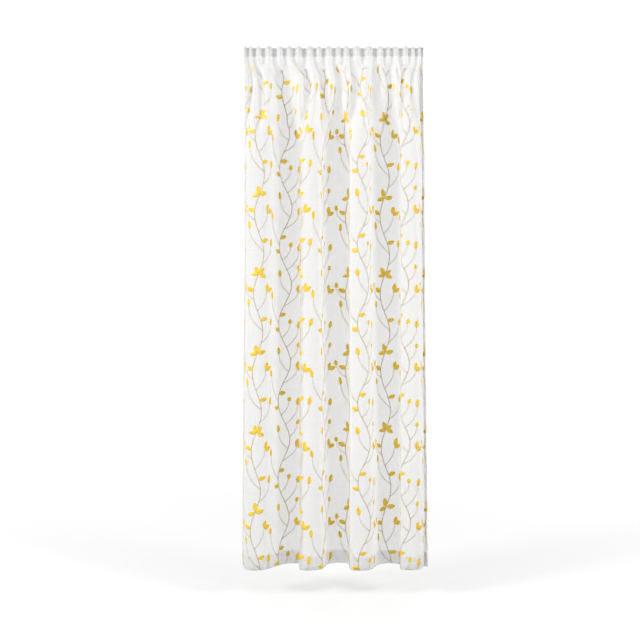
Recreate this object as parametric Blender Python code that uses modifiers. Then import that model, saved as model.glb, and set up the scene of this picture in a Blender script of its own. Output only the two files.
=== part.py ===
"""A sheer voile curtain with a gathered heading: one panel hung in its folds, and the heading tape
sewn to the back of its top edge.

The frame has its origin at the middle of the top edge. +Z is up, the room is towards -Y, and the
curtain hangs down -Z. The cloth is modelled as the flat cut that it is made from: a grid of the
cut's size, each row of which is laid along a plan section through the folds. Every section is as
long as the cut is wide, so no row is stretched, and the fullness decides how deep the folds are.
"""

import bmesh
import bpy
import numpy as np

# The flat cut and the tape, in metres
CUT_WIDTH = 1.32
DROP = 2.13
CLOTH = 0.0012
TAPE = 0.0010
TAPE_TOP = 0.0015
TAPE_BOTTOM = 0.036
SEWING_GAP = 0.0003

# The hung width of the heading. Its gathers run straight down until just below the tape
HEADING_WIDTH = 0.732
GATHERS_END = 0.044

# The widths of the heading's gathers from left to right, in proportion to each other
GATHERS = (3, 4, 6, 7, 6, 5, 7, 6, 5, 7, 4, 6, 7, 8, 5, 4, 6, 5, 4, 3)
GATHER_REACH = 0.012

# Plan sections through the folds, a row for each fold from left to right, in metres. The front of
# a fold runs from left to right and stands forward by reach. The hollow on its right runs from
# sink to rise and lies back by depth. Where rise is to the right of the next fold's left, that
# fold hides the end of the hollow.
#    left    right   reach   sink    rise    depth
SHOULDER_FOLDS = (
    (-0.350, -0.346, 0.010, -0.336, -0.332, 0.012),
    (-0.322, -0.316, 0.014, -0.302, -0.294, 0.016),
    (-0.282, -0.262, 0.026, -0.232, -0.174, 0.024),
    (-0.146, -0.132, 0.030, -0.118, -0.102, 0.022),
    (-0.086, -0.070, 0.024, -0.050, -0.030, 0.028),
    (-0.014, -0.002, 0.014, 0.010, 0.032, 0.028),
    (0.048, 0.060, 0.034, 0.074, 0.096, 0.022),
    (0.118, 0.138, 0.028, 0.154, 0.182, 0.028),
    (0.204, 0.212, 0.008, 0.224, 0.238, 0.020),
    (0.250, 0.264, 0.030, 0.276, 0.284, 0.014),
    (0.294, 0.306, 0.022, 0.316, 0.322, 0.014),
    (0.332, 0.340, 0.018, 0.350, 0.356, 0.012),
)
WAIST_FOLDS = (
    (-0.343, -0.278, 0.046, -0.212, -0.130, 0.044),
    (-0.136, -0.064, 0.048, -0.026, 0.058, 0.050),
    (0.068, 0.126, 0.050, 0.176, 0.270, 0.040),
    (0.272, 0.336, 0.046, 0.364, 0.368, 0.012),
)
HEM_FOLDS = (
    (-0.352, -0.278, 0.048, -0.206, -0.130, 0.044),
    (-0.136, -0.056, 0.048, -0.016, 0.060, 0.052),
    (0.070, 0.144, 0.052, 0.196, 0.272, 0.043),
    (0.274, 0.342, 0.047, 0.374, 0.379, 0.014),
)

# The side edges at each section: how far to the left or right, and how far back
SHOULDER_EDGES = ((-0.364, 0.004), (0.364, 0.002))
WAIST_EDGES = ((-0.365, 0.022), (0.370, -0.002))
HEM_EDGES = ((-0.376, 0.036), (0.381, -0.004))

# How far down each section lies
SHOULDER_DROP = 0.14
WAIST_DROP = 0.46

# The faces that the cloth is divided into: columns across the cut, and the drop of each row
COLUMNS = 132
ROW_DROPS = (0, TAPE_BOTTOM, GATHERS_END, 0.07, 0.10, SHOULDER_DROP, 0.18, 0.23, 0.28, 0.34, 0.40, WAIST_DROP,
             0.80, 1.24, 1.68, DROP)

# How finely a section's path is drawn, and how far its bends are softened along the path
PATH_POINTS = 1321
STEPS_BETWEEN_POINTS = 40
SOFTENING = 0.006


def evenly_spaced(path):
    """The same path as PATH_POINTS points, each as far from the next."""
    along = np.concatenate([[0], np.cumsum(np.linalg.norm(np.diff(path, axis=0), axis=1))])
    wanted = np.linspace(0, along[-1], PATH_POINTS)
    return np.column_stack([np.interp(wanted, along, path[:, axis]) for axis in (0, 1)])


def curve_through(points):
    """A Catmull-Rom curve through the points of a plan section."""
    points = np.array(points, float)
    padded = np.vstack([2 * points[0] - points[1], points, 2 * points[-1] - points[-2]])
    t = np.linspace(0, 1, STEPS_BETWEEN_POINTS, endpoint=False)[:, None]
    spans = []
    for a, b, c, d in zip(padded, padded[1:], padded[2:], padded[3:]):
        bend = (2 * a - 5 * b + 4 * c - d) * t**2 + (3 * b - a - 3 * c + d) * t**3
        spans.append(b + ((c - a) * t + bend) / 2)
    return evenly_spaced(np.vstack([*spans, points[-1:]]))


def softened(path):
    """The path with its tight bends eased by a moving average that weighs near points most."""
    step = CUT_WIDTH / (PATH_POINTS - 1)
    span = round(3 * SOFTENING / step)
    weights = np.exp(-0.5 * (np.arange(-span, span + 1) * step / SOFTENING)**2)
    weights /= weights.sum()
    ahead = 2 * path[0] - path[span:0:-1]
    after = 2 * path[-1] - path[-2:-span - 2:-1]
    padded = np.vstack([ahead, path, after])
    return np.column_stack([np.convolve(padded[:, axis], weights, "valid") for axis in (0, 1)])


def fold_section(folds, edges):
    """The path through a table of folds, from the left edge of the curtain to its right edge."""
    points = [edges[0]]
    for left, right, reach, sink, rise, depth in folds:
        points += [(left, -reach), (right, -reach), (sink, depth), (rise, depth)]
    return curve_through([*points, edges[1]])


def gathered_section():
    """The path through the gathers of the heading, which are alike but for their widths."""
    left = -HEADING_WIDTH / 2
    points = [(left, 0)]
    for share in GATHERS:
        width = HEADING_WIDTH * share / sum(GATHERS)
        points += [(left + width / 4, -GATHER_REACH), (left + 3 * width / 4, GATHER_REACH)]
        left += width
    return curve_through([*points, (left, 0)])


def path_length(path):
    return np.linalg.norm(np.diff(path, axis=0), axis=1).sum()


def fitted_to_cut(path):
    """The path made deeper or shallower, front to back, until it is as long as the cut is wide."""
    shallow = 0.2
    deep = 6.0
    while deep - shallow > 1e-6:
        depth = (shallow + deep) / 2
        if path_length(path * (1, depth)) < CUT_WIDTH:
            shallow = depth
        else:
            deep = depth
    return evenly_spaced(path * (1, depth))


def section_at(sections, drop):
    """The path of the hung cloth at a distance below the top edge.

    Between two sections the upper folds die away as the lower ones grow, by a quarter turn of
    cosine and sine, which keeps their joint depth about even."""
    for (above, upper), (below, lower) in zip(sections, sections[1:]):
        if drop <= below:
            share = (drop - above) / (below - above)
            share = share * share * (3 - 2 * share)
            x = upper[:, 0] * (1 - share) + lower[:, 0] * share
            y = upper[:, 1] * np.cos(share * np.pi / 2) + lower[:, 1] * np.sin(share * np.pi / 2)
            return fitted_to_cut(softened(evenly_spaced(np.column_stack([x, y]))))
    raise ValueError("the drop is longer than the curtain")


def hung_sheet(name, sections, drops, thickness, offset):
    """A flat grid of cloth hung along the sections, with its thickness from a Solidify modifier.

    offset is Solidify's: 0 centres the sheet on the folds, and more than 1 puts it behind them."""
    rows = len(drops) - 1
    paths = [section_at(sections, drop) for drop in drops]
    shell = bmesh.new()
    bmesh.ops.create_grid(shell, x_segments=COLUMNS, y_segments=rows, size=0.5)
    for vertex in shell.verts:
        row = round((0.5 - vertex.co.y) * rows)
        x, y = paths[row][round((vertex.co.x + 0.5) * (PATH_POINTS - 1))]
        vertex.co = (x, y, -drops[row])
    bmesh.ops.reverse_faces(shell, faces=shell.faces)
    mesh = bpy.data.meshes.new(name)
    shell.to_mesh(mesh)
    shell.free()
    mesh.shade_smooth()
    sheet = bpy.data.objects.new(name, mesh)
    solidify = sheet.modifiers.new("cloth thickness", "SOLIDIFY")
    solidify.thickness = thickness
    solidify.offset = offset
    solidify.use_even_offset = True
    return sheet


def finish(name, colour, roughness, alpha):
    """A plain Principled material."""
    material = bpy.data.materials.new(name)
    material.use_nodes = True
    shader = material.node_tree.nodes["Principled BSDF"]
    shader.inputs["Base Color"].default_value = (*colour, 1)
    shader.inputs["Roughness"].default_value = roughness
    shader.inputs["Metallic"].default_value = 0
    shader.inputs["Alpha"].default_value = alpha
    return material


def main():
    for obj in list(bpy.data.objects):
        bpy.data.objects.remove(obj)
    collection = bpy.data.collections.new("sheer voile curtain")
    bpy.context.scene.collection.children.link(collection)

    gathers = gathered_section()
    sections = (
        (0, gathers),
        (GATHERS_END, gathers),
        (SHOULDER_DROP, fold_section(SHOULDER_FOLDS, SHOULDER_EDGES)),
        (WAIST_DROP, fold_section(WAIST_FOLDS, WAIST_EDGES)),
        (DROP, fold_section(HEM_FOLDS, HEM_EDGES)),
    )

    panel = hung_sheet("voile_panel", sections, ROW_DROPS, CLOTH, 0)
    panel.data.materials.append(finish("white voile", (0.93, 0.93, 0.92), 0.8, 0.6))
    collection.objects.link(panel)

    behind = (CLOTH + 2 * SEWING_GAP + TAPE) / TAPE
    tape_drops = (TAPE_TOP, TAPE_BOTTOM)
    tape = hung_sheet("heading_tape", sections, tape_drops, TAPE, behind)
    tape.data.materials.append(finish("white woven tape", (0.90, 0.90, 0.89), 0.75, 1.0))
    collection.objects.link(tape)


main()
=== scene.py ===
"""The finish of a sheer voile curtain: the hung voile with its turned hems, the gathering tape, the
embroidered leaves and stems, and the stitching, in a plain pale studio.

Every piece is first made flat, on the cut cloth: x runs across the cut from its left edge, y is the
height above the cloth's middle on its face side, and z is the drop below the top edge, upside down.
hang() then turns the hems over and lays the piece along the curtain's folds.
"""

import math

import bmesh
import bpy
import numpy as np
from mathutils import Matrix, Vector


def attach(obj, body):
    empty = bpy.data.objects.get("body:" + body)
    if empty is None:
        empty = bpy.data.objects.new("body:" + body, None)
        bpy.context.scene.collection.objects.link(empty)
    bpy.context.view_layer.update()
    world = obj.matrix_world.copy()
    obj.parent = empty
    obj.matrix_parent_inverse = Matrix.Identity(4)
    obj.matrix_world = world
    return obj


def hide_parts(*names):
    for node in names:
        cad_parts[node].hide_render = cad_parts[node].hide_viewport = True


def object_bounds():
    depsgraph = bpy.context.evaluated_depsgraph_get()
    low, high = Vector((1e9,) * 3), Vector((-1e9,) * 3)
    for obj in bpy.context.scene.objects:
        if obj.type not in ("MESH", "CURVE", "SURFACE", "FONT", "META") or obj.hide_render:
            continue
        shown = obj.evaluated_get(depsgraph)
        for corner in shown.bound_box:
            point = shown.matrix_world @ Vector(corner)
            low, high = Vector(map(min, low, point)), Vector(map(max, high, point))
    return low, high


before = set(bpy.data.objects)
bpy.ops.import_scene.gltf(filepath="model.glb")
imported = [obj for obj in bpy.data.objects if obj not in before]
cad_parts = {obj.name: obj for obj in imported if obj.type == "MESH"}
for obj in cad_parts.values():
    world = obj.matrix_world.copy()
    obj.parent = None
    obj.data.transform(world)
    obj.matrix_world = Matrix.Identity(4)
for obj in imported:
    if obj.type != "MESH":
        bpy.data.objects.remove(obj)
CAD_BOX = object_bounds()

bl_info = {
    "name": "Sheer voile curtain",
    "version": (1, 0, 0),
    "blender": (4, 5, 0),
    "location": "3D View > Sidebar > Curtain",
    "description": "Hangs an embroidered voile curtain in its folds, with its hems and stitching",
    "category": "Object",
}

# The hung curtain, in metres
CUT_WIDTH = 1.32
DROP = -CAD_BOX[0].z
HEADING_WIDTH = 0.732
GATHERS_END = 0.044

# The widths of the heading's gathers from left to right, in proportion to each other
GATHERS = (3, 4, 6, 7, 6, 5, 7, 6, 5, 7, 4, 6, 7, 8, 5, 4, 6, 5, 4, 3)
GATHER_REACH = 0.012

# Plan sections through the folds, a row for each fold from left to right, in metres. The front of
# a fold runs from left to right and stands forward by reach. The hollow on its right runs from
# sink to rise and lies back by depth.
#    left    right   reach   sink    rise    depth
SHOULDER_FOLDS = (
    (-0.350, -0.346, 0.010, -0.336, -0.332, 0.012),
    (-0.322, -0.316, 0.014, -0.302, -0.294, 0.016),
    (-0.282, -0.262, 0.026, -0.232, -0.174, 0.024),
    (-0.146, -0.132, 0.030, -0.118, -0.102, 0.022),
    (-0.086, -0.070, 0.024, -0.050, -0.030, 0.028),
    (-0.014, -0.002, 0.014, 0.010, 0.032, 0.028),
    (0.048, 0.060, 0.034, 0.074, 0.096, 0.022),
    (0.118, 0.138, 0.028, 0.154, 0.182, 0.028),
    (0.204, 0.212, 0.008, 0.224, 0.238, 0.020),
    (0.250, 0.264, 0.030, 0.276, 0.284, 0.014),
    (0.294, 0.306, 0.022, 0.316, 0.322, 0.014),
    (0.332, 0.340, 0.018, 0.350, 0.356, 0.012),
)
WAIST_FOLDS = (
    (-0.343, -0.278, 0.046, -0.212, -0.130, 0.044),
    (-0.136, -0.064, 0.048, -0.026, 0.058, 0.050),
    (0.068, 0.126, 0.050, 0.176, 0.270, 0.040),
    (0.272, 0.336, 0.046, 0.364, 0.368, 0.012),
)
HEM_FOLDS = (
    (-0.352, -0.278, 0.048, -0.206, -0.130, 0.044),
    (-0.136, -0.056, 0.048, -0.016, 0.060, 0.052),
    (0.070, 0.144, 0.052, 0.196, 0.272, 0.043),
    (0.274, 0.342, 0.047, 0.374, 0.379, 0.014),
)
SHOULDER_EDGES = ((-0.364, 0.004), (0.364, 0.002))
WAIST_EDGES = ((-0.365, 0.022), (0.370, -0.002))
HEM_EDGES = ((-0.376, 0.036), (0.381, -0.004))
SHOULDER_DROP = 0.14
WAIST_DROP = 0.46
PATH_POINTS = 1321
STEPS_BETWEEN_POINTS = 40
SOFTENING = 0.006
LEVELS = 356

# Soft creases that run down the hung cloth, a row for each. One lies at a distance across the cut,
# from one drop to another, and wanders sideways by drift on its way down. It is a ridge where
# height is positive and a trough where it is negative.
#   across  start  end    drift   width   height
CREASES = (
    (0.060, 0.10, 1.30, 0.010, 0.014, 0.0022),
    (0.128, 0.05, 0.62, -0.012, 0.010, -0.0026),
    (0.150, 0.55, 1.95, 0.016, 0.016, 0.0020),
    (0.205, 0.12, 0.90, 0.014, 0.012, 0.0028),
    (0.248, 0.70, 2.05, -0.010, 0.014, -0.0022),
    (0.330, 0.08, 0.70, -0.008, 0.010, 0.0026),
    (0.452, 0.10, 1.10, 0.012, 0.013, -0.0024),
    (0.500, 0.90, 2.08, -0.014, 0.015, 0.0022),
    (0.548, 0.06, 0.55, 0.010, 0.009, 0.0026),
    (0.655, 0.40, 1.70, 0.012, 0.014, -0.0022),
    (0.700, 0.08, 0.80, -0.010, 0.011, 0.0026),
    (0.792, 0.12, 1.00, 0.010, 0.012, -0.0026),
    (0.850, 0.85, 2.06, 0.012, 0.014, 0.0020),
    (0.935, 0.08, 0.66, -0.012, 0.010, 0.0028),
    (0.985, 0.60, 1.90, 0.010, 0.015, -0.0020),
    (1.070, 0.10, 1.15, -0.010, 0.012, 0.0024),
    (1.135, 0.40, 1.60, 0.012, 0.013, -0.0022),
    (1.196, 0.06, 0.70, 0.010, 0.010, 0.0026),
    (1.250, 0.80, 2.08, -0.010, 0.014, 0.0022),
)


# ---------------------------------------------------------------- the hung form


def evenly_spaced(path):
    """The same path as PATH_POINTS points, each as far from the next."""
    along = np.concatenate([[0], np.cumsum(np.linalg.norm(np.diff(path, axis=0), axis=1))])
    wanted = np.linspace(0, along[-1], PATH_POINTS)
    return np.column_stack([np.interp(wanted, along, path[:, axis]) for axis in (0, 1)])


def curve_through(points):
    """A Catmull-Rom curve through the points of a plan section."""
    points = np.array(points, float)
    padded = np.vstack([2 * points[0] - points[1], points, 2 * points[-1] - points[-2]])
    t = np.linspace(0, 1, STEPS_BETWEEN_POINTS, endpoint=False)[:, None]
    spans = []
    for a, b, c, d in zip(padded, padded[1:], padded[2:], padded[3:]):
        bend = (2 * a - 5 * b + 4 * c - d) * t**2 + (3 * b - a - 3 * c + d) * t**3
        spans.append(b + ((c - a) * t + bend) / 2)
    return evenly_spaced(np.vstack([*spans, points[-1:]]))


def softened(path):
    """The path with its tight bends eased by a moving average that weighs near points most."""
    step = CUT_WIDTH / (PATH_POINTS - 1)
    span = round(3 * SOFTENING / step)
    weights = np.exp(-0.5 * (np.arange(-span, span + 1) * step / SOFTENING)**2)
    weights /= weights.sum()
    ahead = 2 * path[0] - path[span:0:-1]
    after = 2 * path[-1] - path[-2:-span - 2:-1]
    padded = np.vstack([ahead, path, after])
    return np.column_stack([np.convolve(padded[:, axis], weights, "valid") for axis in (0, 1)])


def fold_section(folds, edges):
    """The path through a table of folds, from the left edge of the curtain to its right edge."""
    points = [edges[0]]
    for left, right, reach, sink, rise, depth in folds:
        points += [(left, -reach), (right, -reach), (sink, depth), (rise, depth)]
    return curve_through([*points, edges[1]])


def gathered_section():
    """The path through the gathers of the heading, which are alike but for their widths."""
    left = -HEADING_WIDTH / 2
    points = [(left, 0)]
    for share in GATHERS:
        width = HEADING_WIDTH * share / sum(GATHERS)
        points += [(left + width / 4, -GATHER_REACH), (left + 3 * width / 4, GATHER_REACH)]
        left += width
    return curve_through([*points, (left, 0)])


def path_length(path):
    return np.linalg.norm(np.diff(path, axis=0), axis=1).sum()


def fitted_to_cut(path):
    """The path made deeper or shallower, front to back, until it is as long as the cut is wide."""
    shallow = 0.2
    deep = 6.0
    while deep - shallow > 1e-6:
        depth = (shallow + deep) / 2
        if path_length(path * (1, depth)) < CUT_WIDTH:
            shallow = depth
        else:
            deep = depth
    return evenly_spaced(path * (1, depth))


def section_at(sections, drop):
    """The path of the hung cloth at a distance below the top edge."""
    for (above, upper), (below, lower) in zip(sections, sections[1:]):
        if drop <= below:
            share = (drop - above) / (below - above)
            share = share * share * (3 - 2 * share)
            x = upper[:, 0] * (1 - share) + lower[:, 0] * share
            y = upper[:, 1] * np.cos(share * np.pi / 2) + lower[:, 1] * np.sin(share * np.pi / 2)
            return fitted_to_cut(softened(evenly_spaced(np.column_stack([x, y]))))
    raise ValueError("the drop is longer than the curtain")


def hung_form():
    """The folds as a table of plan points and face-side normals, a row for each level."""
    gathers = gathered_section()
    sections = (
        (0, gathers),
        (GATHERS_END, gathers),
        (SHOULDER_DROP, fold_section(SHOULDER_FOLDS, SHOULDER_EDGES)),
        (WAIST_DROP, fold_section(WAIST_FOLDS, WAIST_EDGES)),
        (DROP + 1e-6, fold_section(HEM_FOLDS, HEM_EDGES)),
    )
    points = np.array([section_at(sections, drop) for drop in np.linspace(0, DROP, LEVELS)])
    tangents = np.gradient(points, axis=1)
    tangents /= np.linalg.norm(tangents, axis=2, keepdims=True)
    normals = np.stack([tangents[:, :, 1], -tangents[:, :, 0]], axis=2)
    return points, normals


FORM, NORMALS = hung_form()


def eased(value, start, end):
    """0 before start, 1 after end, and smooth between them."""
    t = np.clip((value - start) / (end - start), 0, 1)
    return t * t * (3 - 2 * t)


def ruck(across, drop):
    """How far the cloth's own small unevenness lifts it off the smooth folds."""
    lift = np.zeros_like(across)
    for where, start, end, drift, width, height in CREASES:
        share = np.clip((drop - start) / (end - start), 0, 1)
        middle = where + drift * np.sin(share * 2.6)
        fade = np.sin(np.pi * share)**0.8
        lift += height * fade * np.exp(-((across - middle) / width)**2)
    # puckers that the tape's cords draw in, dying away below the tape
    pucker = np.sin(across * 575 + 1.3 * np.sin(across * 61)) + 0.6 * np.sin(across * 343 + 2)
    lift += 0.0009 * pucker * (1 - eased(drop, 0.03, 0.12)) * eased(drop, -0.02, 0.006)
    # the bottom hem's stitching draws it up a little
    draw = np.sin(across * 214 + 1.7 * np.sin(across * 23)) + 0.7 * np.sin(across * 131 + 1)
    lift += 0.0007 * draw * eased(drop, DROP - 0.16, DROP - 0.06)
    # slack between the threads' hold, long and faint
    slack = np.sin(across * 47 + 1.5 * np.sin(drop * 3.1)) * np.sin(drop * 4.3 + across * 9)
    return lift + 0.0010 * slack


def rolled_back(across, drop):
    """How far the edge of the bottom hem rolls back, towards the window."""
    return (HEM_ROLL + 0.002 * np.sin(across * 37 + 1)) * np.clip(
        (drop - DROP + HEM_ROLL_HEIGHT) / HEM_ROLL_HEIGHT, 0, 1)**2


# ---------------------------------------------------------------- turning and hanging

# The voile and its turnings, in metres. A roll is the radius that a turning is folded over
VOILE = 0.0003
SIDE_HEM = 0.022
SIDE_ROLL = 0.00040
BOTTOM_HEM = 0.060
TOP_TURNING = 0.012
END_ROLL = 0.0010
HEM_ROLL = 0.013
HEM_ROLL_HEIGHT = 0.018


def turned_over(along, height, length, roll, hem):
    """Folds cloth backwards over a roll at both ends of a length, as a hem is turned.

    along is the distance from the first end and height is on the face side. The turned layer is
    drawn up to the front one where a hem of this width is sewn. Returns the two after folding."""
    first = roll + VOILE / 2
    last = length - first
    past = np.where(along < length / 2, first - along, along - last)
    way = np.where(along < length / 2, -1, 1)
    edge = np.where(along < length / 2, first, last)
    angle = np.clip(past / roll, 0, np.pi)
    beyond = np.maximum(past - np.pi * roll, 0)
    turned = past > 0
    folded = edge + way * ((roll + height) * np.sin(angle) - beyond)
    gap = roll * (1 - 0.7 * eased(beyond, 0.4 * hem, 0.9 * hem))
    lifted = (gap + height) * np.cos(angle) - gap
    return np.where(turned, folded, along), np.where(turned, lifted, height)


def hang(mesh, turn=True):
    """Lays a flat mesh along the folds, keeping where it lay flat as its "cut" attribute."""
    count = len(mesh.vertices)
    flat = np.zeros(count * 3)
    mesh.vertices.foreach_get("co", flat)
    attribute = mesh.attributes.new("cut", "FLOAT_VECTOR", "POINT")
    attribute.data.foreach_set("vector", flat)
    across, height, drop = flat.reshape(-1, 3).T
    drop = -drop
    if turn:
        across, height = turned_over(across, height, CUT_WIDTH, SIDE_ROLL, SIDE_HEM)
        drop, height = turned_over(drop, height, DROP, END_ROLL, BOTTOM_HEM)
    height = height + ruck(across, drop)
    column = np.clip(across / CUT_WIDTH, 0, 1) * (PATH_POINTS - 1)
    level = np.clip(drop / DROP, 0, 1) * (LEVELS - 1)
    i = np.minimum(column.astype(int), PATH_POINTS - 2)
    j = np.minimum(level.astype(int), LEVELS - 2)
    s = (column - i)[:, None]
    t = (level - j)[:, None]
    place, normal = (
        (table[j, i] * (1 - s) + table[j, i + 1] * s) * (1 - t)
        + (table[j + 1, i] * (1 - s) + table[j + 1, i + 1] * s) * t
        for table in (FORM, NORMALS))
    plan = place + normal * height[:, None]
    plan[:, 1] += rolled_back(across, drop)
    plan[:, 0] += across - np.clip(across, 0, CUT_WIDTH)
    hung = np.column_stack([plan, -drop])
    mesh.vertices.foreach_set("co", hung.ravel())
    mesh.update()


def copied(form, placed, lies):
    """One mesh of many copies of a small bmesh, given the points of each copy and, as its "lie"
    attribute, how each point lies within its copy."""
    form.verts.ensure_lookup_table()
    corners = np.array([vertex.index for face in form.faces for vertex in face.verts])
    sides = np.array([len(face.verts) for face in form.faces])
    starts = np.cumsum(sides) - sides
    turn = np.arange(len(placed))[:, None]
    mesh = bpy.data.meshes.new("copies")
    mesh.vertices.add(len(placed) * len(form.verts))
    mesh.loops.add(len(placed) * len(corners))
    mesh.polygons.add(len(placed) * len(sides))
    mesh.vertices.foreach_set("co", np.concatenate(placed).ravel())
    mesh.loops.foreach_set("vertex_index", (corners + turn * len(form.verts)).ravel())
    mesh.polygons.foreach_set("loop_start", (starts + turn * len(corners)).ravel())
    mesh.update(calc_edges=True)
    attribute = mesh.attributes.new("lie", "FLOAT_VECTOR", "POINT")
    attribute.data.foreach_set("vector", np.concatenate(lies).ravel())
    form.free()
    return mesh


def finished(name, flat, turn=True):
    """An object made from a flat mesh or bmesh, hung, shaded smooth and linked to the scene."""
    mesh = flat
    if isinstance(flat, bmesh.types.BMesh):
        mesh = bpy.data.meshes.new(name)
        flat.to_mesh(mesh)
        flat.free()
    mesh.name = name
    hang(mesh, turn)
    mesh.shade_smooth()
    obj = bpy.data.objects.new(name, mesh)
    bpy.context.scene.collection.objects.link(obj)
    return obj


# ---------------------------------------------------------------- the chart of the embroidery

# The embroidery, in millimetres on the flat cloth: x to the right and y down. A repeat is
# REPEAT_ACROSS wide and REPEAT_DOWN tall, and is counted from the middle of its sprig. Two stems
# wander up through it, and shoots leave them by turns to either side, each with a leaf at its tip.
REPEAT_ACROSS = 300
REPEAT_DOWN = 320
FIRST_SPRIG = (120, 290)
EMBROIDERY_TOP = 72
STEMS_TOP = 86
EMBROIDERED_TURNING = 5
VINE_STEPS = 10
SHOOT_STEPS = 5
TIP_TURN = 8
COLUMNS_OF_REPEATS = range(-2, 6)
ROWS_OF_REPEATS = range(-2, 7)
# How far along a leaf it is tested for lying on the embroidered cloth
LEAF_TESTED_AT = 18

# The wandering stems: where each lies across the repeat, how far it sways and where its sway starts
VINES = ((0, 20, 0.0), (150, 28, 2.4))

# The shoots: the stem that each leaves, how far up, the side (1 is right), how far it reaches
# sideways and up, its leaf's length and width beside a full leaf's, and the turn of a second leaf
# beside the first, where it has one
#  vine  up  side reach rise length width second
SHOOTS = (
    (0, 40, 1, 45, 70, 1.00, 0.90, None),
    (0, 90, -1, 60, 95, 1.00, 0.80, None),
    (0, 170, 1, 40, 80, 1.00, 0.95, 65),
    (0, 215, -1, 40, 50, 0.70, 0.85, None),
    (1, 20, 1, 50, 80, 1.00, 0.95, None),
    (1, 60, 1, 35, 55, 0.65, 0.90, None),
    (1, 120, -1, 50, 100, 1.00, 0.80, None),
    (1, 190, 1, 60, 60, 0.95, 0.95, 70),
    (1, 240, -1, 45, 70, 1.00, 1.00, None),
    (1, 290, 1, 30, 50, 0.65, 0.85, None),
)

# The leaves sewn straight to a stem: which stem, how far up, the way each points as degrees
# clockwise from straight up, and its length and width beside a full leaf's
LEAVES_ON_VINES = (
    (0, 130, 70, 0.95, 0.95),
    (0, 250, -65, 0.95, 1.00),
    (1, 90, -75, 0.95, 1.00),
    (1, 150, 80, 0.90, 0.95),
)

# The leaves of a sprig: place, turn, length and width. The rows take these two sprigs by turns
SPRIG_OF_FOUR = (
    (0, 0, -20, 1.05, 1.05),
    (2, 0, 45, 0.90, 0.90),
    (2, 2, 110, 1.00, 1.00),
    (-2, 2, -95, 0.90, 0.85),
)
SPRIG_OF_THREE = (
    (0, 0, -10, 1.10, 1.10),
    (2, 2, 80, 1.00, 1.00),
    (-2, 2, -105, 0.95, 0.95),
)

# How far the needle strays from the chart, in millimetres, degrees and share of a leaf's size
STRAY = (2.0, 7.0, 0.07)


def on_vine(vine, up):
    """The place on a wandering stem at a distance up the repeat."""
    middle, sway, start = VINES[vine]
    return middle + sway * math.sin(math.tau * up / REPEAT_DOWN + start), -up


def drawn_stems():
    """The stems of a repeat: how thick each one's two ends are, and its points."""
    for vine in range(len(VINES)):
        yield (1.0, 1.0), [on_vine(vine, REPEAT_DOWN * step / VINE_STEPS)
                           for step in range(VINE_STEPS + 1)]
    for vine, up, side, reach, rise, *_ in SHOOTS:
        x, y = on_vine(vine, up)
        yield (0.9, 0.6), [(x + side * reach * (1 - (1 - t)**2), y - rise * t)
                           for t in (step / SHOOT_STEPS for step in range(SHOOT_STEPS + 1))]


def drawn_leaves():
    """The leaves of a repeat but for its sprig: place, turn, length and width."""
    for vine, up, side, reach, rise, length, width, second in SHOOTS:
        x, y = on_vine(vine, up)
        yield x + side * reach, y - rise, side * TIP_TURN, length, width
        if second is not None:
            yield x + side * reach, y - rise + 2, second, length, width
    for vine, up, turn, length, width in LEAVES_ON_VINES:
        yield (*on_vine(vine, up), turn, length, width)


def repeats():
    """Where each repeat of the embroidery is counted from, and the leaves of its sprig."""
    across, down = FIRST_SPRIG
    for column in COLUMNS_OF_REPEATS:
        for row in ROWS_OF_REPEATS:
            sprig = SPRIG_OF_FOUR if row % 2 == 0 else SPRIG_OF_THREE
            yield across + column * REPEAT_ACROSS, down + row * REPEAT_DOWN, sprig


def on_the_cut(x, y, top):
    """True if a place, in millimetres, is on the cloth that the embroidery covers."""
    edge = EMBROIDERED_TURNING
    return -edge < x < CUT_WIDTH * 1000 + edge and top < y < DROP * 1000 + edge


# ---------------------------------------------------------------- materials


def principled_material(name, **values):
    """A material with a Principled shader, its node tree and the shader, with plain values set."""
    material = bpy.data.materials.new(name)
    material.use_nodes = True
    tree = material.node_tree
    shader = tree.nodes["Principled BSDF"]
    for socket, value in values.items():
        shader.inputs[socket.replace("_", " ")].default_value = value
    return material, tree, shader


def new_node(tree, kind, inputs=None, **settings):
    """A node with its settings, and its inputs joined to sockets or given values."""
    node = tree.nodes.new(kind)
    for setting, value in settings.items():
        setattr(node, setting, value)
    for key, value in (inputs or {}).items():
        if isinstance(value, bpy.types.NodeSocket):
            tree.links.new(value, node.inputs[key])
        else:
            node.inputs[key].default_value = value
    return node


def maths(tree, operation, *values):
    """The result of a Math node on sockets or numbers."""
    return new_node(tree, "ShaderNodeMath", dict(enumerate(values)), operation=operation).outputs[0]


def new_group(name, inputs, outputs):
    """A shader node group with named sockets, and its input and output nodes."""
    group = bpy.data.node_groups.new(name, "ShaderNodeTree")
    for label, kind, value in inputs:
        socket = group.interface.new_socket(label, in_out="INPUT", socket_type=kind)
        if value is not None:
            socket.default_value = value
    for label, kind in outputs:
        group.interface.new_socket(label, in_out="OUTPUT", socket_type=kind)
    return group, group.nodes.new("NodeGroupInput"), group.nodes.new("NodeGroupOutput")


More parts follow.
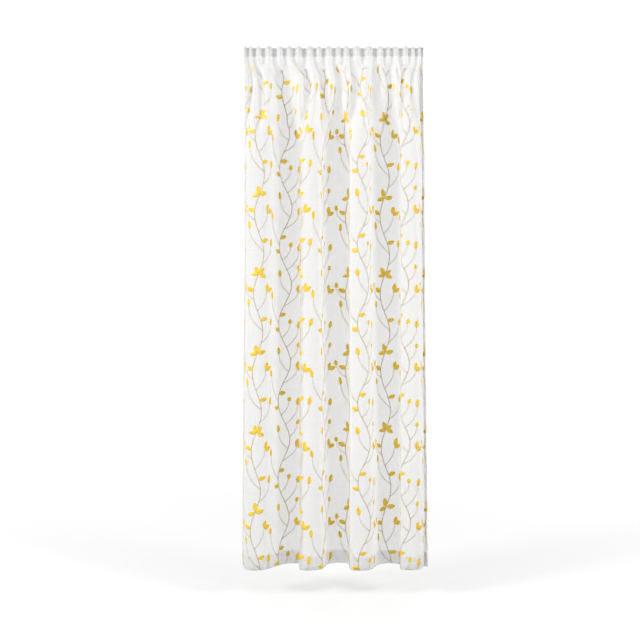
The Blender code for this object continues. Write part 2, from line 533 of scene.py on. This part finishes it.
def weave_group():
    """A plain weave read from where the cloth lay flat: its height and its threads' closeness."""
    group, given, result = new_group(
        "Plain weave",
        (("Flat", "NodeSocketVector", None), ("Threads per metre", "NodeSocketFloat", 1500.0),
         ("Slubs", "NodeSocketFloat", 0.5)),
        (("Height", "NodeSocketFloat"), ("Closeness", "NodeSocketFloat")))
    flat = new_node(group, "ShaderNodeSeparateXYZ", {0: given.outputs["Flat"]})
    turns = maths(group, "MULTIPLY", given.outputs["Threads per metre"], math.tau / 2)
    warp = maths(group, "SINE", maths(group, "MULTIPLY", flat.outputs["X"], turns))
    weft = maths(group, "SINE", maths(group, "MULTIPLY", flat.outputs["Z"], turns))
    over = maths(group, "MULTIPLY", warp, weft)
    streaks = []
    for scale in ((620.0, 1.0, 6.0), (5.0, 1.0, 700.0)):
        place = new_node(group, "ShaderNodeVectorMath", {0: given.outputs["Flat"], 1: scale},
                         operation="MULTIPLY")
        noise = new_node(group, "ShaderNodeTexNoise", {"Vector": place.outputs[0], "Scale": 1.0,
                                                       "Detail": 2.0})
        streaks.append(noise.outputs["Fac"])
    slubs = maths(group, "SUBTRACT", maths(group, "ADD", *streaks), 1.0)
    closeness = maths(group, "MULTIPLY_ADD", slubs, given.outputs["Slubs"], 0.5)
    closeness = maths(group, "MULTIPLY_ADD", over, 0.06, closeness)
    group.links.new(maths(group, "MULTIPLY_ADD", over, 0.5, slubs), result.inputs["Height"])
    group.links.new(closeness, result.inputs["Closeness"])
    return group


def satin_group():
    """Satin stitching: the height of threads that lie at a slant, a tone that differs at random
    from stitch to stitch, and the masks of a painted sheen on one half and a painted shade along
    the middle.
    """
    group, given, result = new_group(
        "Satin stitch",
        (("Lie", "NodeSocketVector", None), ("Threads per metre", "NodeSocketFloat", 1800.0),
         ("Slant", "NodeSocketFloat", 0.6)),
        (("Height", "NodeSocketFloat"), ("Thread tone", "NodeSocketFloat"),
         ("Half sheen", "NodeSocketFloat"), ("Parting shade", "NodeSocketFloat")))
    lie = new_node(group, "ShaderNodeSeparateXYZ", {0: given.outputs["Lie"]})
    side = maths(group, "ABSOLUTE", lie.outputs["X"])
    along = maths(group, "MULTIPLY_ADD", side, given.outputs["Slant"], lie.outputs["Z"])
    count = maths(group, "MULTIPLY", along, given.outputs["Threads per metre"])
    wave = maths(group, "SINE", maths(group, "MULTIPLY", count, math.pi))
    ridge = maths(group, "ABSOLUTE", wave)
    spot = new_node(group, "ShaderNodeCombineXYZ", {"X": maths(group, "FLOOR", count),
                                                    "Y": maths(group, "SIGN", lie.outputs["X"])})
    tone = new_node(group, "ShaderNodeTexWhiteNoise", {"Vector": spot.outputs[0]},
                    noise_dimensions="3D")
    # painted sheen: a mask that picks one half of a shape, on one side of its middle line, to be
    # made lighter
    half = new_node(group, "ShaderNodeMapRange", {"Value": lie.outputs["X"], "From Min": -0.0012,
                                                  "From Max": 0.0012})
    # painted shade: a mask that is 1 along the middle line of a shape, where its two halves part,
    # and fades out to the side
    parting_shade = new_node(group, "ShaderNodeMapRange", {"Value": side, "From Min": 0.0004,
                                                  "From Max": 0.0016, "To Min": 1.0,
                                                  "To Max": 0.0})
    group.links.new(half.outputs[0], result.inputs["Half sheen"])
    group.links.new(parting_shade.outputs[0], result.inputs["Parting shade"])
    group.links.new(ridge, result.inputs["Height"])
    group.links.new(tone.outputs["Value"], result.inputs["Thread tone"])
    return group


def grouped(tree, group, **values):
    """A group placed in a material's tree, with its inputs joined or set."""
    node = tree.nodes.new("ShaderNodeGroup")
    node.node_tree = group
    for key, value in values.items():
        socket = node.inputs[key.replace("_", " ")]
        if isinstance(value, bpy.types.NodeSocket):
            tree.links.new(value, socket)
        else:
            socket.default_value = value
    return node


def read_attribute(tree, name):
    return new_node(tree, "ShaderNodeAttribute", attribute_name=name).outputs["Vector"]


def bumped(tree, shader, height, strength, distance):
    """Joins a Bump node's height to a shader's normal."""
    bump = new_node(tree, "ShaderNodeBump", {"Height": height, "Strength": strength,
                                             "Distance": distance})
    tree.links.new(bump.outputs[0], shader.inputs["Normal"])


def ramp(tree, factor, *stops):
    """A colour ramp with stops of a position and a colour."""
    node = new_node(tree, "ShaderNodeValToRGB", {0: factor})
    elements = node.color_ramp.elements
    while len(elements) < len(stops):
        elements.new(0.5)
    for element, (position, colour) in zip(elements, stops):
        element.position = position
        element.color = (*colour, 1)
    return node.outputs["Color"]


def sheer_material(name, colour, cover, threads, slubs, through, bump):
    """Sheer white cloth: threads that hide part of what is behind, and that glow with the light
    behind them. cover is how much one face hides, and through is how much light the threads
    themselves let by."""
    material, tree, shader = principled_material(
        name, Roughness=0.65, Sheen_Weight=0.2, Sheen_Roughness=0.4)
    weave = grouped(tree, bpy.data.node_groups["Plain weave"], Flat=read_attribute(tree, "cut"),
                    Threads_per_metre=threads, Slubs=slubs)
    closeness = weave.outputs["Closeness"]
    shade = ramp(tree, closeness, (0.2, tuple(c * 0.96 for c in colour)), (0.8, tuple(colour)))
    tree.links.new(shade, shader.inputs["Base Color"])
    bumped(tree, shader, weave.outputs["Height"], bump, 0.0002)
    glow = new_node(tree, "ShaderNodeBsdfTranslucent", {"Color": shade})
    threads_shader = new_node(tree, "ShaderNodeMixShader",
                              {0: through, 1: shader.outputs[0], 2: glow.outputs[0]})
    spread = new_node(tree, "ShaderNodeMapRange", {"Value": closeness, "To Min": cover - 0.04,
                                                   "To Max": cover + 0.04})
    gaps = new_node(tree, "ShaderNodeBsdfTransparent")
    cloth = new_node(tree, "ShaderNodeMixShader",
                     {0: spread.outputs[0], 1: gaps.outputs[0], 2: threads_shader.outputs[0]})
    tree.links.new(cloth.outputs[0], tree.nodes["Material Output"].inputs["Surface"])
    return material


def thread_material(name, colours, threads, slant, half_sheen, parting_shade, lie="lie"):
    """Silky embroidery thread, whose tone changes a little from one stitch to the next. The ridges
    of the threads get a painted highlight; one half of a shape is made lighter by a painted sheen,
    and its middle line darker by a painted shade, each by the share given."""
    material, tree, shader = principled_material(
        name, Roughness=0.5, Sheen_Weight=0.05, Specular_IOR_Level=0.35)
    satin = grouped(tree, bpy.data.node_groups["Satin stitch"], Lie=read_attribute(tree, lie),
                    Threads_per_metre=threads, Slant=slant)
    place = new_node(tree, "ShaderNodeVectorMath", {0: read_attribute(tree, "cut"),
                                                    1: (38.0, 38.0, 38.0)}, operation="MULTIPLY")
    patch = new_node(tree, "ShaderNodeTexNoise", {"Vector": place.outputs[0], "Scale": 1.0,
                                                  "Detail": 1.0}).outputs["Fac"]
    tone = maths(tree, "MULTIPLY_ADD", satin.outputs["Thread tone"], 0.35,
                 maths(tree, "MULTIPLY", patch, 0.65))
    # painted highlight and shade: the thread ridges made lighter and the furrows between the
    # threads darker
    tone = maths(tree, "MULTIPLY_ADD", satin.outputs["Height"], 0.12, tone)
    # painted sheen: one half of the shape made lighter
    tone = maths(tree, "MULTIPLY_ADD", satin.outputs["Half sheen"], half_sheen, tone)
    # painted shade: the middle line of the shape made darker, where its two halves part
    tone = maths(tree, "MULTIPLY_ADD", satin.outputs["Parting shade"], -parting_shade, tone)
    dark, middle, light = colours
    # the ramp carries the random tone of the stitches together with the painted highlight, sheen
    # and shade
    tree.links.new(ramp(tree, tone, (0.20, dark), (0.55, middle), (0.85, light)),
                   shader.inputs["Base Color"])
    bumped(tree, shader, satin.outputs["Height"], 0.45, 0.0003)
    return material


# ---------------------------------------------------------------- pieces


def column_places(step, sharpest):
    """Distances across the cut at which cloth is divided, closer together where the folds bend."""
    middle = FORM[LEVELS * 3 // 5]
    tangents = np.gradient(middle, axis=0)
    angle = np.unwrap(np.arctan2(tangents[:, 1], tangents[:, 0]))
    bend = np.abs(np.gradient(angle)) / (CUT_WIDTH / (PATH_POINTS - 1))
    weight = 1 + np.minimum(bend * sharpest, 2.2)
    weight = np.convolve(np.pad(weight, 30, "edge"), np.ones(61) / 61, "valid")
    total = np.concatenate([[0], np.cumsum((weight[1:] + weight[:-1]) / 2)])
    count = round(CUT_WIDTH / step)
    wanted = np.linspace(0, total[-1], count + 1)
    return np.interp(wanted, total, np.linspace(0, CUT_WIDTH, PATH_POINTS))


def with_turnings(places, length, roll, start_turning, end_turning, step):
    """Adds the places that a rolled edge and its turning need to both ends of a list of places."""
    edge = roll + VOILE / 2
    bend = np.linspace(0, np.pi * roll, 5)
    inner = places[(places > edge + 0.001) & (places < length - edge - 0.001)]
    steps = max(1, round(start_turning / step))
    before = np.linspace(-start_turning, edge - np.pi * roll, steps + 1)[:-1]
    first = (edge - bend)[::-1]
    steps = max(1, round(end_turning / step))
    after = np.linspace(length - edge + np.pi * roll, length + end_turning, steps + 1)[1:]
    last = length - edge + bend
    return np.concatenate([before, first, inner, last, after])


def flat_slab(columns, rows, thickness):
    """A bmesh of flat cloth divided at the given columns and rows, with its thickness."""
    bm = bmesh.new()
    bmesh.ops.create_grid(bm, x_segments=len(columns) - 1, y_segments=len(rows) - 1, size=0.5)
    for vertex in bm.verts:
        column = round((vertex.co.x + 0.5) * (len(columns) - 1))
        row = round((0.5 - vertex.co.y) * (len(rows) - 1))
        vertex.co = (columns[column], thickness / 2, -rows[row])
    bmesh.ops.recalc_face_normals(bm, faces=bm.faces)
    if bm.faces[0].normal.y < 0:
        bmesh.ops.reverse_faces(bm, faces=bm.faces)
    bmesh.ops.solidify(bm, geom=bm.faces[:], thickness=thickness)
    bmesh.ops.recalc_face_normals(bm, faces=bm.faces)
    return bm


class CurtainSettings(bpy.types.PropertyGroup):
    """The sizes and colours of the curtain that a user would change."""

    voile_colour: bpy.props.FloatVectorProperty(
        name="Voile colour", description="Colour of the voile's threads", subtype="COLOR",
        default=(0.96, 0.96, 0.955), min=0, max=1)
    voile_cover: bpy.props.FloatProperty(
        name="Voile cover", description="How much of what is behind one face of the voile hides",
        default=0.30, min=0.11, max=0.9, subtype="FACTOR")
    voile_threads: bpy.props.FloatProperty(
        name="Voile threads", description="Threads per metre of the voile", default=1500)
    tape_colour: bpy.props.FloatVectorProperty(
        name="Tape colour", description="Colour of the gathering tape", subtype="COLOR",
        default=(0.93, 0.93, 0.93), min=0, max=1)
    tape_cover: bpy.props.FloatProperty(
        name="Tape cover", description="How much of what is behind one face of the tape hides",
        default=0.40, min=0.11, max=0.9, subtype="FACTOR")
    tape_threads: bpy.props.FloatProperty(
        name="Tape threads", description="Threads per metre of the gathering tape", default=900)
    leaf_length: bpy.props.FloatProperty(
        name="Leaf length", description="Length of a full leaf", default=0.0325, unit="LENGTH")
    leaf_width: bpy.props.FloatProperty(
        name="Leaf width", description="Width of a full leaf", default=0.0196, unit="LENGTH")
    leaf_height: bpy.props.FloatProperty(
        name="Leaf height", description="How far a leaf stands off the voile", default=0.0011,
        unit="LENGTH")
    leaf_colour: bpy.props.FloatVectorProperty(
        name="Leaf colour", description="Colour of the leaves' thread", subtype="COLOR",
        default=(0.98, 0.635, 0.06), min=0, max=1)
    stem_width: bpy.props.FloatProperty(
        name="Stem width", description="Width of a stem", default=0.0032, unit="LENGTH")
    stem_colour: bpy.props.FloatVectorProperty(
        name="Stem colour", description="Colour of the stems' thread", subtype="COLOR",
        default=(0.56, 0.43, 0.22), min=0, max=1)
    stitch_length: bpy.props.FloatProperty(
        name="Stitch length", description="Length of a stitch of the hems", default=0.0028,
        unit="LENGTH")


def shades(colour, dark, light):
    """A darker shade of a colour, the colour itself, and a lighter one."""
    return [tuple(min(1.0, c * share) for c in colour) for share in (dark, 1, light)]


class OBJECT_OT_voile_panel(bpy.types.Operator):
    """Make the voile panel with its turned hems, hung in its folds"""

    bl_idname = "curtain.voile_panel"
    bl_label = "Voile panel"

    def execute(self, context):
        settings = context.scene.curtain
        columns = with_turnings(column_places(0.0044, 0.02), CUT_WIDTH, SIDE_ROLL,
                                SIDE_HEM, SIDE_HEM, 0.006)
        heading = np.arange(0, 0.12, 0.006)
        shoulder = np.arange(0.12, 0.50, 0.010)
        below = np.arange(0.50, DROP - 0.10, 0.026)
        hem = np.linspace(DROP - 0.10, DROP, 12)
        rows = with_turnings(np.concatenate([heading, shoulder, below, hem]), DROP, END_ROLL,
                             TOP_TURNING, BOTTOM_HEM, 0.009)
        panel = finished("voile_panel_cloth", flat_slab(columns, rows, VOILE))
        panel.data.materials.append(sheer_material(
            "White voile", settings.voile_colour, settings.voile_cover, settings.voile_threads,
            0.5, 0.55, 0.25))
        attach(panel, "root")
        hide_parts("voile_panel")
        return {"FINISHED"}


class OBJECT_OT_heading_tape(bpy.types.Operator):
    """Make the gathering tape behind the top edge, with the cords woven into it"""

    bl_idname = "curtain.heading_tape"
    bl_label = "Heading tape"

    top = 0.0030
    bottom = 0.0355
    inset = 0.004
    behind = 0.0027
    thickness = 0.0006
    cord_rise = 0.0007
    cords = (0.0085, 0.0300)
    cord_half_width = 0.0012

    def execute(self, context):
        columns = np.linspace(self.inset, CUT_WIDTH - self.inset, 600)
        rows = [self.top, self.bottom]
        for cord in self.cords:
            rows += [cord + self.cord_half_width * side for side in (-1, -0.5, 0, 0.5, 1)]
        rows = np.array(sorted([*rows, *np.linspace(self.top, self.bottom, 7)[1:-1]]))
        bm = flat_slab(columns, rows, self.thickness)
        for vertex in bm.verts:
            on_back = vertex.co.y < 0
            vertex.co.y -= self.behind
            if on_back:
                for cord in self.cords:
                    away = (-vertex.co.z - cord) / self.cord_half_width
                    vertex.co.y -= self.cord_rise * max(0.0, 1 - away * away)**0.5
        tape = finished("heading_tape_woven", bm, turn=False)
        settings = context.scene.curtain
        tape.data.materials.append(sheer_material(
            "White woven tape", settings.tape_colour, settings.tape_cover, settings.tape_threads,
            0.4, 0.4, 0.5))
        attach(tape, "root")
        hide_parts("heading_tape")
        return {"FINISHED"}


class OBJECT_OT_stitching(bpy.types.Operator):
    """Sew the hems and the tape with lines of straight stitches, seen from both sides"""

    bl_idname = "curtain.stitching"
    bl_label = "Stitching"

    gap = 0.0009
    width = 0.00055
    rise = 0.00030
    from_edge = 0.003
    tape_lines = (0.0050, 0.0335)

    def lines(self):
        """Each line of stitches: its start, its direction, its length and the faces it shows on."""
        side = SIDE_HEM - self.from_edge
        hem_drop = DROP - BOTTOM_HEM + self.from_edge
        across = CUT_WIDTH - 2 * side
        behind_tape = -0.0036
        yield (side, hem_drop), (1, 0), across, (0.0002, -0.0009)
        for x in (side, CUT_WIDTH - side):
            yield (x, 0.040), (0, 1), hem_drop - 0.042, (0.0002, -0.0006)
        for drop in self.tape_lines:
            yield (0.006, drop), (1, 0), CUT_WIDTH - 0.012, (0.0002, behind_tape)

    def execute(self, context):
        settings = context.scene.curtain
        form = bmesh.new()
        bmesh.ops.create_uvsphere(form, u_segments=5, v_segments=3, radius=0.5)
        shape = np.array([vertex.co for vertex in form.verts])
        pitch = settings.stitch_length + self.gap
        placed = []
        lies = []
        for (x, drop), (right, down), length, heights in self.lines():
            for place in np.arange(0, length, pitch):
                for height in heights:
                    lie = shape * (self.width, self.rise * 2, settings.stitch_length)
                    lies.append(lie)
                    placed.append(np.column_stack([
                        x + place * right + (lie[:, 2] if right else lie[:, 0]),
                        lie[:, 1] + height,
                        -(drop + place * down) + (lie[:, 0] if right else lie[:, 2])]))
        stitches = finished("hem_and_tape_stitches", copied(form, placed, lies), turn=False)
        stitches.data.materials.append(thread_material(
            "White sewing thread", [(0.86,) * 3, (0.92,) * 3, (0.97,) * 3], 3200, 0.9, 0, 0))
        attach(stitches, "root")
        return {"FINISHED"}


class OBJECT_OT_leaves(bpy.types.Operator):
    """Embroider the leaves: satin-stitched, crowned, and parted along the middle"""

    bl_idname = "curtain.leaves"
    bl_label = "Embroidered leaves"

    around = 12
    rings = 8
    groove = 0.38
    back_share = 0.35

    def leaf_form(self, settings):
        """A full leaf that lies on the cloth, sewn on at the origin and pointing up."""
        bm = bmesh.new()
        bmesh.ops.create_uvsphere(bm, u_segments=self.around, v_segments=self.rings, radius=1)
        for vertex in bm.verts:
            side, face, end = vertex.co
            along = (1 + end) / 2
            girth = max(math.sqrt(max(0.0, 1 - end * end)), 1e-6)
            outline = math.sin(math.pi * along**0.86)**0.64 if 0.001 < along < 0.999 else 0.0
            across = side / girth if outline else 0.0
            height = settings.leaf_height * abs(face) / girth * outline**0.5
            height *= 1 - self.groove * math.exp(-(across / 0.28)**2)
            if face > 0:
                height *= -self.back_share
            vertex.co = (across * outline * settings.leaf_width / 2, height,
                         along * settings.leaf_length)
        bmesh.ops.recalc_face_normals(bm, faces=bm.faces)
        return bm

    def execute(self, context):
        settings = context.scene.curtain
        form = self.leaf_form(settings)
        shape = np.array([vertex.co for vertex in form.verts])
        stray, turn_stray, size_stray = STRAY
        chance = np.random.default_rng(4)
        placed = []
        lies = []
        for across, down, sprig in repeats():
            for x, y, turn, length, width in (*drawn_leaves(), *sprig):
                x_off, y_off, turn_off, longer, wider = chance.uniform(-1, 1, 5)
                x += x_off * stray
                y += y_off * stray
                turn += turn_off * turn_stray
                length *= 1 + longer * size_stray
                width *= 1 + wider * size_stray
                sine = math.sin(math.radians(turn))
                cosine = math.cos(math.radians(turn))
                if not on_the_cut(across + x + LEAF_TESTED_AT * sine,
                                  down + y - LEAF_TESTED_AT * cosine, EMBROIDERY_TOP):
                    continue
                lie = shape * (width, 1, length)
                lies.append(lie)
                placed.append(np.column_stack([
                    (across + x) / 1000 + lie[:, 0] * cosine + lie[:, 2] * sine,
                    lie[:, 1],
                    -(down + y) / 1000 - lie[:, 0] * sine + lie[:, 2] * cosine]))
        leaves = finished("embroidered_leaves", copied(form, placed, lies))
        # the leaves get a painted sheen on one half and a painted shade along their middle line
        leaves.data.materials.append(thread_material(
            "Golden leaf thread", shades(settings.leaf_colour, 0.62, 1.15), 1700, 0.55, 0.26, 0.35))
        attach(leaves, "root")
        return {"FINISHED"}


class OBJECT_OT_stems(bpy.types.Operator):
    """Embroider the stems: narrow stitched lines that branch through the leaves"""

    bl_idname = "curtain.stems"
    bl_label = "Embroidered stems"

    spacing = 0.005
    flatness = 0.34

    def stem_line(self, points):
        """Places along a smooth line through a stem's points, in metres, and how far on each is."""
        points = np.array(points, float) / 1000
        padded = np.vstack([2 * points[0] - points[1], points, 2 * points[-1] - points[-2]])
        line = []
        for a, b, c, d in zip(padded, padded[1:], padded[2:], padded[3:]):
            steps = max(2, round(np.linalg.norm(c - b) / self.spacing))
            for t in np.arange(steps) / steps:
                bend = (2 * a - 5 * b + 4 * c - d) * t**2 + (3 * b - a - 3 * c + d) * t**3
                line.append(b + ((c - a) * t + bend) / 2)
        line.append(points[-1])
        return np.array(line)

    def execute(self, context):
        settings = context.scene.curtain
        curve = bpy.data.curves.new("stems", "CURVE")
        curve.dimensions = "3D"
        curve.bevel_depth = settings.stem_width / 2
        curve.bevel_resolution = 1
        curve.use_fill_caps = True
        for across, down, _ in repeats():
            for (start, end), points in drawn_stems():
                line = self.stem_line([(across + x, down + y) for x, y in points])
                kept = [i for i, (x, y) in enumerate(line)
                        if on_the_cut(x * 1000, y * 1000, STEMS_TOP)]
                if len(kept) < 3:
                    continue
                spline = curve.splines.new("POLY")
                spline.points.add(len(kept) - 1)
                for point, i in zip(spline.points, kept):
                    x, y = line[i]
                    share = i / (len(line) - 1)
                    point.co = (x, 0, -y, 1)
                    point.radius = start + (end - start) * share
        maker = bpy.data.objects.new("stems", curve)
        context.scene.collection.objects.link(maker)
        depsgraph = context.evaluated_depsgraph_get()
        mesh = bpy.data.meshes.new_from_object(maker.evaluated_get(depsgraph))
        bpy.data.objects.remove(maker)
        bm = bmesh.new()
        bm.from_mesh(mesh)
        bpy.data.meshes.remove(mesh)
        bmesh.ops.remove_doubles(bm, verts=bm.verts, dist=1e-6)
        for vertex in bm.verts:
            vertex.co.y = vertex.co.y * self.flatness + 0.0001
        bmesh.ops.recalc_face_normals(bm, faces=bm.faces)
        stems = finished("embroidered_stems", bm)
        stems.data.materials.append(thread_material(
            "Beige stem thread", shades(settings.stem_colour, 0.84, 1.15), 1500, 0.8, 0.0, 0.0,
            "cut"))
        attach(stems, "root")
        return {"FINISHED"}


class OBJECT_OT_studio(bpy.types.Operator):
    """Make the pale studio, its soft lights and the camera"""

    bl_idname = "curtain.studio"
    bl_label = "Studio"

    floor_below_hem = 0.12
    bowl_radius = 9.0
    cove_radius = 3.0
    wall_height = 9.0
    floor_glow = 0.50
    wall_glow = 0.76
    air_strength = 0.8

    # Each light's name, place, size and power
    lights = (
        ("key_light", (-4.6, -2.9, 1.0), 1.2, 264),
        ("side_light", (4.4, -3.0, 1.2), 1.6, 184),
        ("back_light", (1.8, 3.8, 1.5), 2.2, 30),
    )
    camera_place = (-0.056, -3.70, -1.117)
    camera_lens = 50.9

    def backdrop(self):
        """A pale floor that curves up into a wall all round."""
        bm = bmesh.new()
        floor = -DROP - self.floor_below_hem
        flat = self.bowl_radius - self.cove_radius
        points = [(0, floor), (flat / 2, floor)]
        for step in range(13):
            angle = step * math.pi / 24
            points.append((flat + self.cove_radius * math.sin(angle),
                           floor + self.cove_radius * (1 - math.cos(angle))))
        points.append((self.bowl_radius, floor + self.wall_height))
        verts = [bm.verts.new((x, 0, z)) for x, z in points]
        edges = [bm.edges.new(pair) for pair in zip(verts, verts[1:])]
        bmesh.ops.spin(bm, geom=[*verts, *edges], cent=(0, 0, 0), axis=(0, 0, 1), angle=math.tau,
                       steps=72, use_merge=True)
        bmesh.ops.remove_doubles(bm, verts=bm.verts, dist=1e-4)
        bmesh.ops.recalc_face_normals(bm, faces=bm.faces)
        bmesh.ops.reverse_faces(bm, faces=bm.faces)
        mesh = bpy.data.meshes.new("studio_backdrop")
        bm.to_mesh(mesh)
        bm.free()
        mesh.shade_smooth()
        backdrop = bpy.data.objects.new("studio_backdrop", mesh)
        bpy.context.scene.collection.objects.link(backdrop)
        material, tree, shader = principled_material(
            "Pale backdrop", Base_Color=(0.43, 0.43, 0.43, 1), Roughness=0.95,
            Specular_IOR_Level=0.1, Emission_Color=(1, 1, 1, 1))
        seen = new_node(tree, "ShaderNodeLightPath").outputs["Is Camera Ray"]
        place = new_node(tree, "ShaderNodeTexCoord").outputs["Object"]
        level = new_node(tree, "ShaderNodeVectorMath",
                         {0: place, 1: (1.0, 1.0, 0.0)}, operation="MULTIPLY").outputs["Vector"]
        away = new_node(tree, "ShaderNodeVectorMath",
                        {0: level}, operation="LENGTH").outputs["Value"]
        glow = new_node(tree, "ShaderNodeMapRange", {
            "Value": away, "From Min": 0.0, "From Max": self.bowl_radius - self.cove_radius,
            "To Min": self.floor_glow, "To Max": self.wall_glow}, interpolation_type="SMOOTHSTEP")
        tree.links.new(maths(tree, "MULTIPLY", seen, glow.outputs[0]),
                       shader.inputs["Emission Strength"])
        mesh.materials.append(material)

    def light(self, name, place, target, size, power):
        """A soft square light at a place, aimed at a target."""
        data = bpy.data.lights.new(name, "AREA")
        data.shape = "SQUARE"
        data.size = size
        data.energy = power
        lamp = bpy.data.objects.new(name, data)
        lamp.location = place
        lamp.rotation_mode = "QUATERNION"
        lamp.rotation_quaternion = (Vector(target) - Vector(place)).to_track_quat("-Z", "Y")
        bpy.context.scene.collection.objects.link(lamp)

    def execute(self, context):
        scene = context.scene
        self.backdrop()
        for name, place, size, power in self.lights:
            self.light(name, place, (0, 0, -DROP / 2), size, power)
        world = bpy.data.worlds.new("Studio air")
        world.use_nodes = True
        world.node_tree.nodes["Background"].inputs["Color"].default_value = (1, 1, 1, 1)
        world.node_tree.nodes["Background"].inputs["Strength"].default_value = self.air_strength
        scene.world = world
        scene.view_settings.view_transform = "Standard"
        scene.cycles.transparent_max_bounces = 40

        camera = bpy.data.objects.new("camera", bpy.data.cameras.new("camera"))
        camera.location = self.camera_place
        camera.rotation_euler = (math.pi / 2, 0, 0)
        camera.data.lens = self.camera_lens
        scene.collection.objects.link(camera)
        scene.camera = camera
        return {"FINISHED"}


class VIEW3D_PT_curtain(bpy.types.Panel):
    """Lists the curtain's settings and the pieces that can be made"""

    bl_label = "Sheer voile curtain"
    bl_space_type = "VIEW_3D"
    bl_region_type = "UI"
    bl_category = "Curtain"

    def draw(self, context):
        settings = context.scene.curtain
        for name in CurtainSettings.__annotations__:
            self.layout.prop(settings, name)
        for operator in PIECES:
            self.layout.operator(operator.bl_idname)


PIECES = (OBJECT_OT_studio, OBJECT_OT_voile_panel, OBJECT_OT_heading_tape,
          OBJECT_OT_stitching, OBJECT_OT_leaves, OBJECT_OT_stems)
CLASSES = (CurtainSettings, *PIECES, VIEW3D_PT_curtain)


def register():
    for cls in CLASSES:
        bpy.utils.register_class(cls)
    bpy.types.Scene.curtain = bpy.props.PointerProperty(type=CurtainSettings)


def unregister():
    del bpy.types.Scene.curtain
    for cls in reversed(CLASSES):
        bpy.utils.unregister_class(cls)


def main():
    register()
    weave_group()
    satin_group()
    for operator in PIECES:
        category, name = operator.bl_idname.split(".")
        getattr(getattr(bpy.ops, category), name)()


if __name__ == "__main__":
    main()
